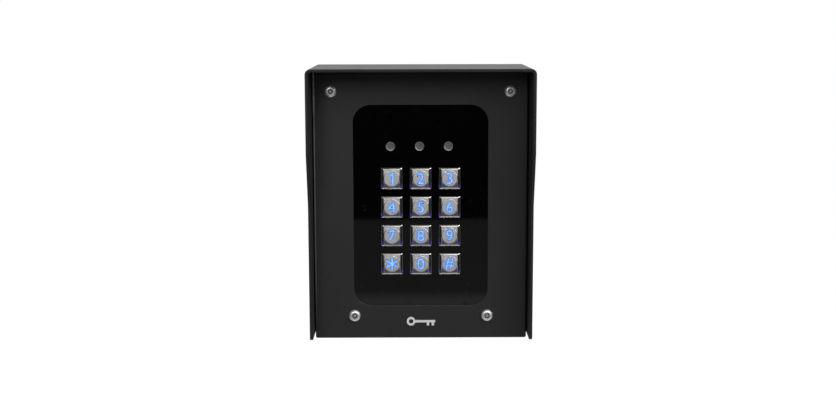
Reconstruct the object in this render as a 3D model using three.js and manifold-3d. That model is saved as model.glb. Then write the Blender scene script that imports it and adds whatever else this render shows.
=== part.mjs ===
// A wall-mounted keypad access reader: a folded steel hood around a screwed-on front panel,
// with a gloss keypad fascia, twelve sprung metal keys and the circuit board behind it.
// Units are millimetres. +X is to the right seen from the front, +Z is up, the wall is at y = 0
// and the front faces -Y. The origin is the centre of the rear face that lies on the wall.

import * as THREE from 'three';
import { mergeVertices } from 'three/addons/utils/BufferGeometryUtils.js';
import Module from 'manifold-3d';

const wasm = await Module();
wasm.setup();

const QUARTER = Math.PI / 2;

// ---------------------------------------------------------------- driving dimensions

const HEIGHT = 180;
const WIDTH = 146;
const FACE_Y = -54; // front surface of the front panel
const HOOD_FRONT_Y = -81; // front edge of the top and of the upper sides
const HOOD_LOW_FRONT_Y = -69; // front edge of the lower sides
const HOOD_STEP_TOP_Z = 36; // where the side edge starts to slope back
const HOOD_STEP_LOW_Z = 1; // where the slope ends
const HOOD_SHEET = 2;
const HOOD_BEND = 3.5; // outer bend radius
const HOOD_TIP_RADIUS = 3;
const HOOD_SIDE_RISE = 2; // the sides stop this far above the bottom of the panel

const PANEL_SHEET = 1.2;
const PANEL_BEND = 1.5;
const PANEL_GAP = 0.75; // between the panel and the inside of the hood
const PAN_DEPTH = 12; // depth of the rear pan's flanges
const PAN_SHEET = 2;
const PAN_BEND = 2.5;
const SEAM = 0.4; // gap where two folded edges meet
const SEAT = 0.1; // clearance between two faces that sit on each other

const WINDOW = { width: 89, height: 134, radius: 11.5, z: -1 };
const PITCH = 19; // key spacing both ways
const COLUMNS = [-PITCH, 0, PITCH];
const KEY_TOP_Z = 17.5; // centre of the first row of keys
const KEY_NAMES = ['1', '2', '3', '4', '5', '6', '7', '8', '9', 'star', '0', 'hash'];
const INDICATOR_Z = 38.5;
const INDICATOR_SHIFT = -0.8; // the lights stand a little left of the key columns
const INDICATOR_NAMES = ['left', 'middle', 'right'];

const KEY_SIZE = 14;
const KEY_BEVEL = 1.2;
const KEY_PROUD = 1.9; // key front in front of the fascia
const KEY_TRAVEL = 1;
const KEY_CLEARANCE = 0.3;
const KEY_FLANGE = 16.4;
const KEY_FLANGE_THICK = 1.2;
const LENS_RADIUS = 4.7;
const LENS_SINK = 0.5; // legend disc below the key front
const LENS_THICK = 1.6;
const DISC_RADIUS = 5.4; // shallow round dish in the key front
const DOME_RADIUS = 3.8;
const DOME_POCKET = 5; // half side of the pocket behind the key

const FASCIA = { width: 107, height: 138, radius: 6, flange: 3 };
const FASCIA_SINK = 0.9; // fascia front behind the panel front
const GASKET = { width: 95, height: 138, thick: 0.8 };
const INDICATOR_RADIUS = 3;
const BOARD = { width: 92, height: 130, thick: 1.6, z: -1 };
const KEYMAT = { width: 62, height: 80, thick: 1.2 };

const SCREWS = [
  { name: 'top_left', x: -58.5, z: 74.5 },
  { name: 'top_right', x: 58.5, z: 74.5 },
  { name: 'bottom_left', x: -44, z: -74.5 },
  { name: 'bottom_right', x: 44, z: -74.5 },
];
const SCREW = { head: 3.8, headHeight: 2.1, shank: 2, length: 11, socket: 1.3, socketDepth: 1.3 };
const PILLAR_RADIUS = 5;
const STUD = { radius: 1.5, length: 8, x: 49.5, z: 50 };
const NUT = { radius: 3.1, height: 2.4 };
const BOARD_SCREW = { x: 40, z: 58, head: 2.5, headHeight: 1.6, shank: 1.2, length: 5, boss: 3 };
const FIT = 0.3; // radial gap round a shank or a pin

const CABLE_HOLE = { z: -38, radius: 11, bore: 7, lip: 14, lipThick: 1.8 };
const WALL_HOLE = { radius: 3, x: 52, z: 58 };
const BADGE = { z: -78.4, thick: 0.8, bow: 2.9, bowHole: 1.5, length: 19, shaft: 1.5, bit: 2.1 };

// ---------------------------------------------------------------- derived places

const TOP = HEIGHT / 2;
const BOTTOM = -HEIGHT / 2;
const HOOD_INSIDE = WIDTH / 2 - HOOD_SHEET;
const PANEL_SIDE = HOOD_INSIDE - PANEL_GAP;
const PANEL_TOP = TOP - HOOD_SHEET - PANEL_GAP;
const PANEL_BACK_Y = FACE_Y + PANEL_SHEET;
const FASCIA_FRONT_Y = FACE_Y + FASCIA_SINK;
const FASCIA_SEAT_Y = PANEL_BACK_Y + GASKET.thick + 2 * SEAT;
const FASCIA_BACK_Y = FASCIA_SEAT_Y + FASCIA.flange;
const KEY_FRONT_Y = FASCIA_FRONT_Y - KEY_PROUD;
const KEY_FLANGE_Y = FASCIA_BACK_Y + 2 * SEAT;
const KEY_BACK_Y = KEY_FLANGE_Y + KEY_FLANGE_THICK;
const KEYMAT_FRONT_Y = KEY_BACK_Y + KEY_TRAVEL + 0.4;
const BOARD_FRONT_Y = KEYMAT_FRONT_Y + KEYMAT.thick + SEAT;
const BOARD_BACK_Y = BOARD_FRONT_Y + BOARD.thick;
const KEY_CENTRE_Z = KEY_TOP_Z - 1.5 * PITCH;

// ---------------------------------------------------------------- outlines and solids

/** Points along an arc, both ends included. */
function arc(cx, cy, radius, from, to, steps) {
  const points = [];
  for (let i = 0; i <= steps; i += 1) {
    const angle = from + ((to - from) * i) / steps;
    points.push(new THREE.Vector2(cx + radius * Math.cos(angle), cy + radius * Math.sin(angle)));
  }
  return points;
}

function circle(cx, cy, radius, steps = 24) {
  return arc(cx, cy, radius, 0, 2 * Math.PI, steps).slice(0, -1);
}

function rectangle(x0, y0, x1, y1) {
  return [[x0, y0], [x1, y0], [x1, y1], [x0, y1]].map(([x, y]) => new THREE.Vector2(x, y));
}

function roundedRectangle(width, height, radius, cy = 0, steps = 6) {
  const x = width / 2 - radius;
  const y = height / 2 - radius;
  return [
    ...arc(x, cy - y, radius, -QUARTER, 0, steps),
    ...arc(x, cy + y, radius, 0, QUARTER, steps),
    ...arc(-x, cy + y, radius, QUARTER, 2 * QUARTER, steps),
    ...arc(-x, cy - y, radius, 2 * QUARTER, 3 * QUARTER, steps),
  ];
}

/** A closed three.js geometry as a manifold solid. */
function solid(geometry) {
  geometry.deleteAttribute('normal');
  geometry.deleteAttribute('uv');
  const merged = mergeVertices(geometry, 1e-4);
  return new wasm.Manifold(new wasm.Mesh({
    numProp: 3,
    vertProperties: new Float32Array(merged.attributes.position.array),
    triVerts: new Uint32Array(merged.index.array),
  }));
}

/** A manifold solid as a three.js geometry. */
function geometryOf(body) {
  const { vertProperties, triVerts, numProp } = body.getMesh();
  const positions = new Float32Array((vertProperties.length / numProp) * 3);
  for (let i = 0; i < positions.length / 3; i += 1) {
    positions.set(vertProperties.subarray(i * numProp, i * numProp + 3), i * 3);
  }
  const geometry = new THREE.BufferGeometry();
  geometry.setAttribute('position', new THREE.BufferAttribute(positions, 3));
  geometry.setIndex(new THREE.BufferAttribute(new Uint32Array(triVerts), 1));
  geometry.computeVertexNormals();
  return geometry;
}

function extrusion(points, depth) {
  return new THREE.ExtrudeGeometry(new THREE.Shape(points), { depth, bevelEnabled: false });
}

/** An outline in x and z, made solid from yFront back to yBack. */
function plate(points, yFront, yBack) {
  const geometry = extrusion(points, yBack - yFront);
  geometry.rotateX(QUARTER);
  geometry.translate(0, yBack, 0);
  return solid(geometry);
}

/** An outline in y and z, made solid from x0 to x1. */
function acrossX(points, x0, x1) {
  const geometry = extrusion(points, x1 - x0);
  const [x, y, z] = [0, 1, 2].map((i) => new THREE.Vector3().setComponent(i, 1));
  geometry.applyMatrix4(new THREE.Matrix4().makeBasis(y, z, x));
  geometry.translate(x0, 0, 0);
  return solid(geometry);
}

/** An outline in x and y, made solid from z0 to z1. */
function upZ(points, z0, z1) {
  const geometry = extrusion(points, z1 - z0);
  geometry.translate(0, 0, z0);
  return solid(geometry);
}

function block(x0, x1, yFront, yBack, z0, z1) {
  return plate(rectangle(x0, z0, x1, z1), yFront, yBack);
}

function cylinderY(x, z, radius, yFront, yBack, steps = 24) {
  return plate(circle(x, z, radius, steps), yFront, yBack);
}

/** A block whose edges towards -Y are rounded, as a folded sheet's are. */
function foldedBlock(side, z0, z1, yFront, yBack, radius) {
  const steps = 4;
  const plan = [
    new THREE.Vector2(side, yBack),
    new THREE.Vector2(-side, yBack),
    ...arc(-side + radius, yFront + radius, radius, 2 * QUARTER, 3 * QUARTER, steps),
    ...arc(side - radius, yFront + radius, radius, 3 * QUARTER, 4 * QUARTER, steps),
  ];
  const elevation = [
    new THREE.Vector2(yBack, z0),
    new THREE.Vector2(yBack, z1),
    ...arc(yFront + radius, z1 - radius, radius, QUARTER, 2 * QUARTER, steps),
    ...arc(yFront + radius, z0 + radius, radius, 2 * QUARTER, 3 * QUARTER, steps),
  ];
  return upZ(plan, z0, z1).intersect(acrossX(elevation, -side, side));
}

const model = new THREE.Group();

const PAINT = { color: 0x3a3b3d, roughness: 0.55, metalness: 0.3 };
const STEEL = { color: 0xb4b6b8, roughness: 0.35, metalness: 1 };
const ZINC = { color: 0x9fa3a6, roughness: 0.45, metalness: 1 };
const GLOSS_BLACK = { color: 0x0a0a0c, roughness: 0.08, metalness: 0 };
const BLACK_PLASTIC = { color: 0x17181a, roughness: 0.6, metalness: 0 };
const RUBBER = { color: 0x202124, roughness: 0.85, metalness: 0 };
const SILICONE = { color: 0xc9cdd2, roughness: 0.6, metalness: 0 };
const BLUE_LIGHT = { color: 0x6fa8ff, roughness: 0.3, metalness: 0, emissive: 0x3f7dff };
const DIFFUSER = { color: 0x8a8d91, roughness: 0.5, metalness: 0 };
const BOARD_GREEN = { color: 0x1f5a3a, roughness: 0.5, metalness: 0 };
const TERMINAL_GREEN = { color: 0x3f8f4a, roughness: 0.5, metalness: 0 };

/** Adds one named piece, in place or moved to (x, y, z). */
function piece(name, shape, finish, position = [0, 0, 0]) {
  const geometry = shape.isBufferGeometry ? shape : geometryOf(shape);
  const mesh = new THREE.Mesh(geometry, new THREE.MeshStandardMaterial(finish));
  mesh.name = name;
  mesh.position.set(...position);
  model.add(mesh);
}

// ---------------------------------------------------------------- folded sheet metal

/** The outline of an upside-down U, rounded at its two upper corners. */
function archOutline(side, z0, z1, radius) {
  return [
    new THREE.Vector2(-side, z0),
    new THREE.Vector2(side, z0),
    ...arc(side - radius, z1 - radius, radius, 0, QUARTER, 6),
    ...arc(-side + radius, z1 - radius, radius, QUARTER, 2 * QUARTER, 6),
  ];
}

function hood() {
  const bottom = BOTTOM + HOOD_SIDE_RISE;
  const outer = plate(archOutline(WIDTH / 2, bottom, TOP, HOOD_BEND), HOOD_FRONT_Y, 0);
  const hollow = plate(
    archOutline(HOOD_INSIDE, bottom - 1, TOP - HOOD_SHEET, HOOD_BEND - HOOD_SHEET),
    HOOD_FRONT_Y - 1,
    1,
  );
  const ahead = HOOD_FRONT_Y - 1;
  const tip = HOOD_TIP_RADIUS;
  const cutaway = [
    new THREE.Vector2(ahead, bottom - 1),
    new THREE.Vector2(HOOD_LOW_FRONT_Y + tip, bottom - 1),
    ...arc(HOOD_LOW_FRONT_Y + tip, bottom + tip, tip, 3 * QUARTER, 2 * QUARTER, 5),
    new THREE.Vector2(HOOD_LOW_FRONT_Y, HOOD_STEP_LOW_Z),
    new THREE.Vector2(HOOD_FRONT_Y, HOOD_STEP_TOP_Z),
    new THREE.Vector2(ahead, HOOD_STEP_TOP_Z),
  ];
  return outer.subtract(hollow).subtract(acrossX(cutaway, -WIDTH, WIDTH));
}

function backPlate() {
  const side = HOOD_INSIDE - SEAT;
  const top = TOP - HOOD_SHEET - SEAT;
  // The pan opens towards the front, so its folds are made facing -Y and then turned round.
  const outer = foldedBlock(side, BOTTOM, top, 0, PAN_DEPTH, PAN_BEND);
  const inner = foldedBlock(
    side - PAN_SHEET,
    BOTTOM + PAN_SHEET,
    top - PAN_SHEET,
    PAN_SHEET,
    PAN_DEPTH + 1,
    PAN_BEND - PAN_SHEET,
  );
  const arch = archOutline(side, BOTTOM, top, HOOD_BEND - HOOD_SHEET + SEAT);
  let pan = outer.subtract(inner).mirror([0, 1, 0]).intersect(plate(arch, -PAN_DEPTH, 0));
  pan = pan.subtract(cylinderY(0, CABLE_HOLE.z, CABLE_HOLE.radius, -PAN_DEPTH, 1, 32));
  for (const x of [-WALL_HOLE.x, WALL_HOLE.x]) {
    for (const z of [-WALL_HOLE.z, WALL_HOLE.z]) {
      pan = pan.subtract(cylinderY(x, z, WALL_HOLE.radius, -PAN_SHEET - 1, 1, 16));
    }
  }
  return pan;
}

function frontPanel() {
  const back = -PAN_DEPTH - SEAM;
  const outer = foldedBlock(PANEL_SIDE, BOTTOM, PANEL_TOP, FACE_Y, back, PANEL_BEND);
  const inner = foldedBlock(
    PANEL_SIDE - PANEL_SHEET,
    BOTTOM + PANEL_SHEET,
    PANEL_TOP - PANEL_SHEET,
    PANEL_BACK_Y,
    back + 1,
    PANEL_BEND - PANEL_SHEET,
  );
  const opening = roundedRectangle(WINDOW.width, WINDOW.height, WINDOW.radius, WINDOW.z, 8);
  let panel = outer.subtract(inner).subtract(plate(opening, FACE_Y - 1, PANEL_BACK_Y + 1));
  for (const { x, z } of SCREWS) {
    panel = panel.subtract(cylinderY(x, z, SCREW.shank + FIT, FACE_Y - 1, PANEL_BACK_Y + 1, 16));
  }
  const studStart = PANEL_BACK_Y - PANEL_SHEET / 2;
  for (const x of [-STUD.x, STUD.x]) {
    for (const z of [WINDOW.z - STUD.z, WINDOW.z + STUD.z]) {
      panel = panel.add(cylinderY(x, z, STUD.radius, studStart, PANEL_BACK_Y + STUD.length, 12));
    }
  }
  return panel;
}

piece('hood', hood(), PAINT);
piece('back_plate', backPlate(), PAINT);
piece('front_panel', frontPanel(), PAINT);

// ---------------------------------------------------------------- panel screws and pillars

/** A screw whose head lies in front of y = 0 and whose shank points to +Y. */
function screwGeometry(head, headHeight, shank, length, socket, socketDepth) {
  const crown = 0.35 * headHeight;
  const profile = [
    [0, -headHeight + socketDepth],
    [socket, -headHeight + socketDepth],
    [socket, -headHeight],
    [0.62 * head, -headHeight],
    [0.9 * head, -headHeight + crown],
    [head, -headHeight + 2 * crown],
    [head, 0],
    [shank, 0],
    [shank, length],
    [0, length],
  ];
  const points = profile.map(([radius, y]) => new THREE.Vector2(radius, y));
  return solid(new THREE.LatheGeometry(points, 20));
}

function pillar(screwLength) {
  const front = PANEL_BACK_Y + SEAT;
  const bore = cylinderY(0, 0, SCREW.shank + FIT, front - 1, FACE_Y + screwLength + 2, 16);
  return cylinderY(0, 0, PILLAR_RADIUS, front, -PAN_SHEET - SEAT, 6).subtract(bore);
}

const panelScrew = screwGeometry(
  SCREW.head, SCREW.headHeight, SCREW.shank, SCREW.length, SCREW.socket, SCREW.socketDepth,
);
const pillarSolid = pillar(SCREW.length);
for (const { name, x, z } of SCREWS) {
  piece(`panel_screw_${name}`, geometryOf(panelScrew), STEEL, [x, FACE_Y - SEAT, z]);
  piece(`pillar_${name}`, geometryOf(pillarSolid), ZINC, [x, 0, z]);
}

// ---------------------------------------------------------------- fascia and its fixings

function gasket() {
  const front = PANEL_BACK_Y + SEAT;
  const opening = roundedRectangle(WINDOW.width + 1, WINDOW.height + 1, WINDOW.radius, WINDOW.z);
  return plate(roundedRectangle(GASKET.width, GASKET.height, WINDOW.radius, WINDOW.z), front,
    front + GASKET.thick).subtract(plate(opening, front - 1, front + GASKET.thick + 1));
}

const BOARD_SCREW_SPOTS = [
  { name: 'top_left', x: -BOARD_SCREW.x, z: BOARD.z + BOARD_SCREW.z },
  { name: 'top_right', x: BOARD_SCREW.x, z: BOARD.z + BOARD_SCREW.z },
  { name: 'bottom_left', x: -BOARD_SCREW.x, z: BOARD.z - BOARD_SCREW.z },
  { name: 'bottom_right', x: BOARD_SCREW.x, z: BOARD.z - BOARD_SCREW.z },
];

const KEYS = KEY_NAMES.map((name, i) => ({
  name,
  x: COLUMNS[i % 3],
  z: KEY_TOP_Z - PITCH * Math.floor(i / 3),
}));

function fascia() {
  const margin = 2 * FIT;
  const window = roundedRectangle(
    WINDOW.width - margin, WINDOW.height - margin, WINDOW.radius - FIT, WINDOW.z, 8,
  );
  const flange = roundedRectangle(FASCIA.width, FASCIA.height, FASCIA.radius, WINDOW.z);
  let body = plate(window, FASCIA_FRONT_Y, FASCIA_BACK_Y).add(plate(flange, FASCIA_SEAT_Y, FASCIA_BACK_Y));
  for (const { x, z } of BOARD_SCREW_SPOTS) {
    body = body.add(cylinderY(x, z, BOARD_SCREW.boss, FASCIA_BACK_Y - 1, BOARD_FRONT_Y - SEAT, 16));
    body = body.subtract(cylinderY(x, z, BOARD_SCREW.shank + FIT, FASCIA_BACK_Y - 0.5, BOARD_FRONT_Y, 12));
  }
  const half = KEY_SIZE / 2 + KEY_CLEARANCE;
  for (const { x, z } of KEYS) {
    body = body.subtract(block(x - half, x + half, FASCIA_FRONT_Y - 1, FASCIA_BACK_Y + 1, z - half, z + half));
  }
  for (const x of COLUMNS) {
    body = body.subtract(
      cylinderY(
        x + INDICATOR_SHIFT, INDICATOR_Z, INDICATOR_RADIUS + FIT, FASCIA_FRONT_Y - 1, FASCIA_BACK_Y + 1,
      ),
    );
  }
  for (const x of [-STUD.x, STUD.x]) {
    for (const z of [WINDOW.z - STUD.z, WINDOW.z + STUD.z]) {
      body = body.subtract(cylinderY(x, z, STUD.radius + FIT, FASCIA_SEAT_Y - 1, FASCIA_BACK_Y + 1, 12));
    }
  }
  return body;
}

piece('fascia_gasket', gasket(), RUBBER);
piece('keypad_fascia', fascia(), GLOSS_BLACK);

const nutStart = FASCIA_BACK_Y + SEAT;
const nut = cylinderY(0, 0, NUT.radius, nutStart, nutStart + NUT.height, 6)
  .subtract(cylinderY(0, 0, STUD.radius + FIT, nutStart - 1, nutStart + NUT.height + 1, 12));
let nutNumber = 0;
for (const z of [WINDOW.z + STUD.z, WINDOW.z - STUD.z]) {
  for (const x of [-STUD.x, STUD.x]) {
    nutNumber += 1;
    piece(`fascia_nut_${nutNumber}`, geometryOf(nut), ZINC, [x, 0, z]);
  }
}

// ---------------------------------------------------------------- keys

/** A square metal key with a bevelled front, a round dish and a pocket for its rubber dome. */
function keyCap() {
  const half = KEY_SIZE / 2;
  const bevelBack = KEY_FRONT_Y + KEY_BEVEL;
  const corner = Math.SQRT2;
  const bevel = new THREE.CylinderGeometry(half * corner, (half - KEY_BEVEL) * corner, KEY_BEVEL, 4);
  bevel.rotateY(QUARTER / 2);
  bevel.translate(0, KEY_FRONT_Y + KEY_BEVEL / 2, 0);
  const flange = KEY_FLANGE / 2;
  const pocketFront = KEY_FRONT_Y + LENS_SINK + LENS_THICK + 2 * SEAT;
  return solid(bevel)
    .add(block(-half, half, bevelBack, KEY_BACK_Y, -half, half))
    .add(block(-flange, flange, KEY_FLANGE_Y, KEY_BACK_Y, -flange, flange))
    .subtract(cylinderY(0, 0, DISC_RADIUS, KEY_FRONT_Y - 1, KEY_FRONT_Y + LENS_SINK))
    .subtract(cylinderY(0, 0, LENS_RADIUS + FIT / 2, KEY_FRONT_Y - 1, KEY_BACK_Y + 1))
    .subtract(block(-DOME_POCKET, DOME_POCKET, pocketFront, KEY_BACK_Y + 1, -DOME_POCKET, DOME_POCKET));
}

/** The clear disc that carries a key's lit figure. */
function keyLegend() {
  const front = KEY_FRONT_Y + LENS_SINK;
  return cylinderY(0, 0, LENS_RADIUS, front, front + LENS_THICK);
}

const capSolid = keyCap();
const legendSolid = keyLegend();
for (const { name, x, z } of KEYS) {
  piece(`key_${name}`, geometryOf(capSolid), STEEL, [x, 0, z]);
  piece(`key_${name}_legend`, geometryOf(legendSolid), BLUE_LIGHT, [x, 0, z]);
}

/** One silicone sheet with a dome behind each key. */
function keymat() {
  const side = KEYMAT.width / 2;
  const half = KEYMAT.height / 2;
  const back = KEYMAT_FRONT_Y + KEYMAT.thick;
  const domeFront = KEYMAT_FRONT_Y - KEY_FLANGE_THICK - 1.4;
  let mat = block(-side, side, KEYMAT_FRONT_Y, back, KEY_CENTRE_Z - half, KEY_CENTRE_Z + half);
  for (const { x, z } of KEYS) {
    mat = mat.add(cylinderY(x, z, DOME_RADIUS, domeFront, back, 16));
  }
  return mat;
}

piece('keymat', keymat(), SILICONE);

// ---------------------------------------------------------------- board and what it carries

function circuitBoard() {
  const outline = roundedRectangle(BOARD.width, BOARD.height, 3, BOARD.z, 3);
  let board = plate(outline, BOARD_FRONT_Y, BOARD_BACK_Y);
  for (const { x, z } of BOARD_SCREW_SPOTS) {
    board = board.subtract(
      cylinderY(x, z, BOARD_SCREW.shank + FIT, BOARD_FRONT_Y - 1, BOARD_BACK_Y + 1, 12),
    );
  }
  return board;
}

piece('circuit_board', circuitBoard(), BOARD_GREEN);

const boardScrew = screwGeometry(
  BOARD_SCREW.head, BOARD_SCREW.headHeight, BOARD_SCREW.shank, BOARD_SCREW.length, 0.8, 0.8,
).mirror([0, 1, 0]);
for (const { name, x, z } of BOARD_SCREW_SPOTS) {
  piece(`board_screw_${name}`, geometryOf(boardScrew), ZINC, [x, BOARD_BACK_Y + SEAT, z]);
}

const indicator = cylinderY(0, 0, INDICATOR_RADIUS, FASCIA_FRONT_Y - 0.3, BOARD_FRONT_Y - SEAT);
INDICATOR_NAMES.forEach((name, i) => {
  const x = COLUMNS[i] + INDICATOR_SHIFT;
  piece(`indicator_${name}`, geometryOf(indicator), DIFFUSER, [x, 0, INDICATOR_Z]);
});

const REAR = BOARD_BACK_Y + SEAT; // where components stand on the rear of the board

piece('relay', block(-38, -19, REAR, REAR + 15.5, 20, 36), BLACK_PLASTIC);
piece('microcontroller', block(-7, 7, REAR, REAR + 1.6, 8, 22), BLACK_PLASTIC);
piece('buzzer', cylinderY(26, 30, 6, REAR, REAR + 9.5), BLACK_PLASTIC);

/** A ten-way screw terminal with its wire mouths facing down. */
function terminalBlock() {
  const ways = 10;
  const pitch = 5;
  const depth = 11;
  const [z0, z1] = [-62, -52];
  const side = (ways * pitch) / 2;
  let body = block(-side, side, REAR, REAR + depth, z0, z1);
  for (let i = 0; i < ways; i += 1) {
    const x = -side + pitch * (i + 0.5);
    body = body.subtract(block(x - 1.7, x + 1.7, REAR + 3, REAR + 7, z0 - 1, z0 + 6));
    body = body.subtract(cylinderY(x, (z0 + z1) / 2 + 1, 1.7, REAR + 7.6, REAR + depth + 1, 10));
  }
  return body;
}

piece('terminal_block', terminalBlock(), TERMINAL_GREEN);

// The tamper switch stands on the board; its plunger meets a post on the back plate.
const TAMPER = { x: 33, z: 8, half: 6, height: 9, plunger: 1.6, travel: 1.2, post: 3 };
const tamperBack = REAR + TAMPER.height;
const tamperTip = tamperBack + 4;

function tamperSwitch() {
  const { x, z, half } = TAMPER;
  return block(x - half, x + half, REAR, tamperBack, z - half / 2, z + half / 2)
    .subtract(cylinderY(x, z, TAMPER.plunger + FIT, REAR + 1.5, tamperBack + 1, 16));
}

piece('tamper_switch', tamperSwitch(), BLACK_PLASTIC);
piece(
  'tamper_plunger',
  cylinderY(TAMPER.x, TAMPER.z, TAMPER.plunger, REAR + 1.5 + TAMPER.travel + FIT, tamperTip, 16),
  DIFFUSER,
);
piece(
  'tamper_post',
  cylinderY(TAMPER.x, TAMPER.z, TAMPER.post, tamperTip + SEAT, -PAN_SHEET - SEAT, 16),
  ZINC,
);

// ---------------------------------------------------------------- cable entry and badge

/** A rubber bush that grips the edge of the cable hole. */
function cableGrommet() {
  const { radius, bore, lip, lipThick } = CABLE_HOLE;
  const front = -PAN_SHEET - SEAT;
  const profile = [
    [bore, front - lipThick],
    [lip, front - lipThick],
    [lip, front],
    [radius - SEAT, front],
    [radius - SEAT, -SEAT],
    [bore, -SEAT],
    [bore, front - lipThick],
  ];
  const points = profile.map(([r, y]) => new THREE.Vector2(r, y));
  return solid(new THREE.LatheGeometry(points, 28));
}

piece('cable_grommet', cableGrommet(), RUBBER, [0, 0, CABLE_HOLE.z]);

/** A plain door-key pictogram lying on its side. */
function badge() {
  const { z, thick, bow, bowHole, length, shaft, bit } = BADGE;
  const [front, back] = [FACE_Y - SEAT - thick, FACE_Y - SEAT];
  const left = -length / 2;
  const right = length / 2;
  const bar = block(left + bow, right, front, back, z - shaft / 2, z + shaft / 2);
  let key = cylinderY(left + bow, z, bow, front, back, 28).add(bar);
  for (const x of [right - 1.6, right - 4.8]) {
    key = key.add(block(x - 0.8, x + 0.8, front, back, z - shaft / 2 - bit, z));
  }
  return key.subtract(cylinderY(left + bow, z, bowHole, front - 1, back + 1));
}

piece('badge', badge(), STEEL);

export default model;
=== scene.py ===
"""The looks of a wall-mounted keypad access reader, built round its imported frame.

Sizes are in millimetres and become metres when a mesh is made. +X is to the right seen from the
front, +Z is up, the wall is at y = 0 and the front faces -Y.
"""

import math

import bmesh
import bpy
from mathutils import Matrix, Vector


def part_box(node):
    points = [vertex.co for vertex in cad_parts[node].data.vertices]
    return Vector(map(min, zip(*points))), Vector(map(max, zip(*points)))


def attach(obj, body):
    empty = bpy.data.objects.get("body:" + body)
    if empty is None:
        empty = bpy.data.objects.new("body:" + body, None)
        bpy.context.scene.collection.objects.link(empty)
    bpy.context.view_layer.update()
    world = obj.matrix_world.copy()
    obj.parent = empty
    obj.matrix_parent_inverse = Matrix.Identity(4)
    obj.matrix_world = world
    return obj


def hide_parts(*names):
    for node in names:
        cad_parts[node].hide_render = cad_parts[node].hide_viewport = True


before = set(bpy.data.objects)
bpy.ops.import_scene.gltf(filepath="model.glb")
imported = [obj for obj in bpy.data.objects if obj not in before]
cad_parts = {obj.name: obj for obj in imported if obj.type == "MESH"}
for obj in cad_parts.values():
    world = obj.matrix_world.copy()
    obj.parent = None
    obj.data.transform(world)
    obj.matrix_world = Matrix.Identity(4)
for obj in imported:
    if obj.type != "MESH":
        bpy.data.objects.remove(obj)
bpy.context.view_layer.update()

MM = 0.001
QUARTER = math.pi / 2


def node_box(name):
    """Lowest and highest corner of a CAD node, in millimetres."""
    low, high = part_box(name)
    return low / MM, high / MM


def node_centre(name):
    low, high = node_box(name)
    return (low + high) / 2


# ------------------------------------------------------------------ sizes from the frame

HOOD_LOW, HOOD_HIGH = node_box("hood")
PANEL_LOW, PANEL_HIGH = node_box("front_panel")
FASCIA_LOW, FASCIA_HIGH = node_box("keypad_fascia")
KEY_LOW, KEY_HIGH = node_box("key_1")
FACE_Y = PANEL_LOW.y
PITCH = node_centre("key_2").x - node_centre("key_1").x
KEY_TOP_Z = node_centre("key_1").z
KEY_FRONT_Y = KEY_LOW.y
KEYS_MIDDLE_Z = KEY_TOP_Z - 1.5 * PITCH

HOOD_SHEET = 2.0
HOOD_BEND = 3.5
HOOD_SET_BACK = 12.0
HOOD_LOW_FRONT_Y = HOOD_LOW.y + HOOD_SET_BACK
HOOD_STEP_TOP_Z = 36.0
HOOD_STEP_LOW_Z = 1.0
HOOD_STEP_ROUND = 14.0
HOOD_TIP_ROUND = 3.0

PANEL_SHEET = 1.2
PANEL_BEND = 1.2
PANEL_CORNER = 1.3
PANEL_INNER_CORNER = 0.1
WINDOW_HALF = Vector((44.2, 66.7))
WINDOW_ROUND = 11.5
WINDOW_Z = (FASCIA_LOW.z + FASCIA_HIGH.z) / 2

KEY_NAMES = ["1", "2", "3", "4", "5", "6", "7", "8", "9", "star", "0", "hash"]
CORNERS = ["top_left", "top_right", "bottom_left", "bottom_right"]
INDICATORS = ["indicator_left", "indicator_middle", "indicator_right"]


# ------------------------------------------------------------------ shader arithmetic


class Signal:
    """A shader value that takes part in Python arithmetic."""

    def __init__(self, finish, socket):
        self.finish = finish
        self.socket = socket

    def _math(self, operation, *values, clamp=False):
        settings = {"operation": operation, "use_clamp": clamp}
        return self.finish.node("ShaderNodeMath", settings, dict(enumerate(values)))

    def __add__(self, other):
        return self._math("ADD", self, other)

    __radd__ = __add__

    def __sub__(self, other):
        return self._math("SUBTRACT", self, other)

    def __rsub__(self, other):
        return self._math("SUBTRACT", other, self)

    def __mul__(self, other):
        return self._math("MULTIPLY", self, other)

    __rmul__ = __mul__

    def __truediv__(self, other):
        return self._math("DIVIDE", self, other)

    def clamped(self):
        return self._math("ADD", self, 0.0, clamp=True)

    def absolute(self):
        return self._math("ABSOLUTE", self)

    def root(self):
        return self._math("SQRT", self)

    def fraction(self):
        return self._math("FRACT", self)

    def above(self, edge, softness):
        """0 below edge and 1 above it, with a soft step between."""
        return ((self - edge) / softness + 0.5).clamped()


class Nodes:
    """A shader node tree under construction."""

    def __init__(self, tree):
        self.tree = tree
        tree.nodes.clear()

    def feed(self, socket, value):
        if isinstance(value, Signal):
            self.tree.links.new(value.socket, socket)
        else:
            socket.default_value = value

    def node(self, kind, settings=None, sockets=None, output=0):
        """A node with its settings made first, then the values or links of its sockets."""
        made = self.tree.nodes.new(kind)
        for key, value in (settings or {}).items():
            setattr(made, key, value)
        for key, value in (sockets or {}).items():
            self.feed(made.inputs[key], value)
        return None if output is None else Signal(self, made.outputs[output])

    def split(self, vector, name):
        """The x, y or z of a vector."""
        return self.node("ShaderNodeSeparateXYZ", None, {"Vector": vector}, name)


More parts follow.
